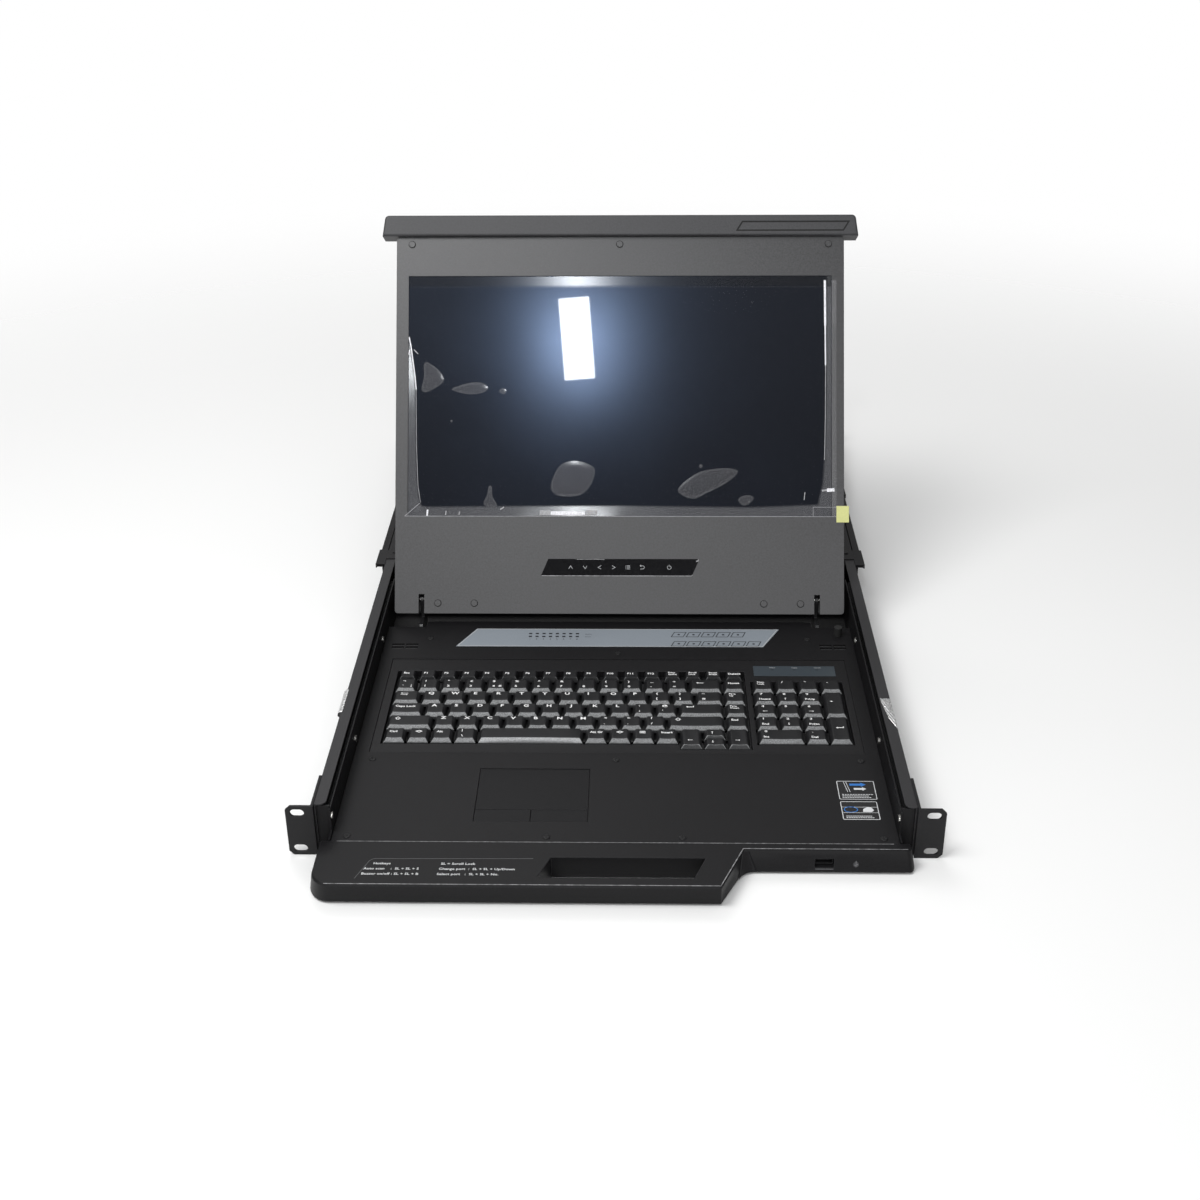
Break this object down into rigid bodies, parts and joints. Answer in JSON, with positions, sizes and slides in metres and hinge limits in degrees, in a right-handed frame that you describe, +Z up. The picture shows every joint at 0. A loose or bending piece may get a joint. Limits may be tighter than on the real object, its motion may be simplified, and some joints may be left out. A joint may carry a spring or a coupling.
{
  "type": "rack-mount lcd console drawer",
  "caption": "1U rack drawer with keyboard and touchpad on ball slides, and a flat display that folds down over them.",
  "frame": {"origin": "under the middle of the front ear plane, on the underside of the chassis", "axes": "+X to the right seen from the front, +Y to the rear of the rack, +Z up"},
  "size_m": [0.4826, 0.8305, 0.3434],
  "materials": {
    "chassis_paint": "fine matt black powder coat",
    "deck_paint": "fine matt charcoal powder coat",
    "lid_paint": "fine textured dark grey powder coat",
    "lip_plastic": "satin black moulding",
    "bar_plastic": "satin black moulding",
    "key_plastic": "black keycaps with white legends",
    "frame_plastic": "satin black moulding",
    "zinc_steel": "bright zinc plate",
    "black_steel": "black zinc plate",
    "rail_finish": "brushed black",
    "screen_glass": "glossy black",
    "clear_film": "clear protective film",
    "yellow_tab": "translucent yellow film",
    "overlay_grey": "blue-grey membrane overlay",
    "overlay_black": "gloss black membrane overlay",
    "strip_lens": "smoked lens",
    "touch_plastic": "fine matt black",
    "rubber": "soft black rubber",
    "screw_black": "black oxide",
    "rivet_steel": "bright nickel",
    "lamp_lens": "clear lens",
    "socket_steel": "tin plate",
    "inlet_plastic": "black moulding",
    "circuit_board": "green solder mask",
    "supply_case": "plain steel",
    "standoff_brass": "turned brass"
  },
  "bodies": {
    "chassis": {"chassis_tray": "chassis_paint", "rear_cover": "chassis_paint", "cover_screws": "screw_black", "left_ear": "chassis_paint", "right_ear": "chassis_paint", "outer_slides": "zinc_steel", "rail_clips": "chassis_paint", "rear_panel": "chassis_paint", "video_sockets": "socket_steel", "data_sockets": "socket_steel", "power_inlet": "inlet_plastic", "switch_housing": "inlet_plastic", "switch_board": "circuit_board", "board_standoffs": "standoff_brass", "power_supply": "supply_case"},
    "drawer": {"drawer_tray": "deck_paint", "keyboard_deck": "deck_paint", "deck_screws": "screw_black", "wall_rivets": "rivet_steel", "front_lip": "lip_plastic", "front_usb_socket": "socket_steel", "power_lamp": "lamp_lens", "inner_slides": "zinc_steel", "keyboard_frame": "frame_plastic", "key_guide_plate": "zinc_steel", "indicator_strip": "strip_lens", "touchpad": "touch_plastic", "touchpad_holder": "frame_plastic", "status_panel": "overlay_grey", "lid_stop": "rubber", "hinge_arms": "black_steel"},
    "slide_middle": {"middle_slides": "zinc_steel"},
    "lid": {"lid_front": "lid_paint", "lid_back": "lid_paint", "display_panel": "screen_glass", "screen_film": "clear_film", "film_tab": "yellow_tab", "menu_panel": "overlay_black", "lid_screws": "screw_black", "hinge_brackets": "black_steel", "hinge_pins": "zinc_steel", "top_bar": "bar_plastic", "bar_insert": "overlay_black"},
    "left_rail": {"left_rail": "rail_finish", "left_rail_ear": "chassis_paint"},
    "right_rail": {"right_rail": "rail_finish", "right_rail_ear": "chassis_paint"},
    "power_rocker": {"power_rocker": "inlet_plastic"},
    "left_touch_button": {"left_touch_button": "touch_plastic"},
    "right_touch_button": {"right_touch_button": "touch_plastic"},
    "function_keys": {"function_keys": "key_plastic"},
    "number_keys": {"number_keys": "key_plastic"},
    "upper_letter_keys": {"upper_letter_keys": "key_plastic"},
    "home_letter_keys": {"home_letter_keys": "key_plastic"},
    "lower_letter_keys": {"lower_letter_keys": "key_plastic"},
    "bottom_keys": {"bottom_keys": "key_plastic"},
    "space_bar": {"space_bar": "key_plastic"},
    "arrow_keys": {"arrow_keys": "key_plastic"},
    "number_pad_keys": {"number_pad_keys": "key_plastic"}
  },
  "joints": [
    {"name": "drawer_slide", "type": "slide", "parent": "chassis", "child": "drawer", "axis": [0, -1, 0], "range_m": [0, 0.38]},
    {"name": "middle_slide", "type": "slide", "parent": "chassis", "child": "slide_middle", "axis": [0, -1, 0], "range_m": [0, 0.19]},
    {"name": "lid_hinge", "type": "hinge", "parent": "drawer", "child": "lid", "pos_m": [0, 0.3325, 0.035], "axis": [1, 0, 0], "range_deg": [0, 120]},
    {"name": "left_rail_adjust", "type": "slide", "parent": "chassis", "child": "left_rail", "axis": [0, 1, 0], "range_m": [-0.16, 0]},
    {"name": "right_rail_adjust", "type": "slide", "parent": "chassis", "child": "right_rail", "axis": [0, 1, 0], "range_m": [-0.16, 0]},
    {"name": "power_rocker_tilt", "type": "hinge", "parent": "chassis", "child": "power_rocker", "pos_m": [-0.152, 0.578, 0.0215], "axis": [1, 0, 0], "range_deg": [0, 24]},
    {"name": "function_keys_press", "type": "slide", "parent": "drawer", "child": "function_keys", "axis": [0, 0, -1], "range_m": [0, 0.003], "stiffness_N_per_m": 800, "springref_m": -0.002},
    {"name": "number_keys_press", "type": "slide", "parent": "drawer", "child": "number_keys", "axis": [0, 0, -1], "range_m": [0, 0.003], "stiffness_N_per_m": 800, "springref_m": -0.002},
    {"name": "upper_letter_keys_press", "type": "slide", "parent": "drawer", "child": "upper_letter_keys", "axis": [0, 0, -1], "range_m": [0, 0.003], "stiffness_N_per_m": 800, "springref_m": -0.002},
    {"name": "home_letter_keys_press", "type": "slide", "parent": "drawer", "child": "home_letter_keys", "axis": [0, 0, -1], "range_m": [0, 0.003], "stiffness_N_per_m": 800, "springref_m": -0.002},
    {"name": "lower_letter_keys_press", "type": "slide", "parent": "drawer", "child": "lower_letter_keys", "axis": [0, 0, -1], "range_m": [0, 0.003], "stiffness_N_per_m": 800, "springref_m": -0.002},
    {"name": "bottom_keys_press", "type": "slide", "parent": "drawer", "child": "bottom_keys", "axis": [0, 0, -1], "range_m": [0, 0.003], "stiffness_N_per_m": 800, "springref_m": -0.002},
    {"name": "space_bar_press", "type": "slide", "parent": "drawer", "child": "space_bar", "axis": [0, 0, -1], "range_m": [0, 0.003], "stiffness_N_per_m": 800, "springref_m": -0.002},
    {"name": "arrow_keys_press", "type": "slide", "parent": "drawer", "child": "arrow_keys", "axis": [0, 0, -1], "range_m": [0, 0.003], "stiffness_N_per_m": 800, "springref_m": -0.002},
    {"name": "number_pad_keys_press", "type": "slide", "parent": "drawer", "child": "number_pad_keys", "axis": [0, 0, -1], "range_m": [0, 0.003], "stiffness_N_per_m": 800, "springref_m": -0.002},
    {"name": "left_touch_button_press", "type": "slide", "parent": "drawer", "child": "left_touch_button", "axis": [0, 0, -1], "range_m": [0, 0.0006], "stiffness_N_per_m": 1500, "springref_m": -0.0005},
    {"name": "right_touch_button_press", "type": "slide", "parent": "drawer", "child": "right_touch_button", "axis": [0, 0, -1], "range_m": [0, 0.0006], "stiffness_N_per_m": 1500, "springref_m": -0.0005}
  ],
  "couplings": [
    {"joint": "middle_slide", "follows": "drawer_slide", "ratio": 0.5}
  ]
}
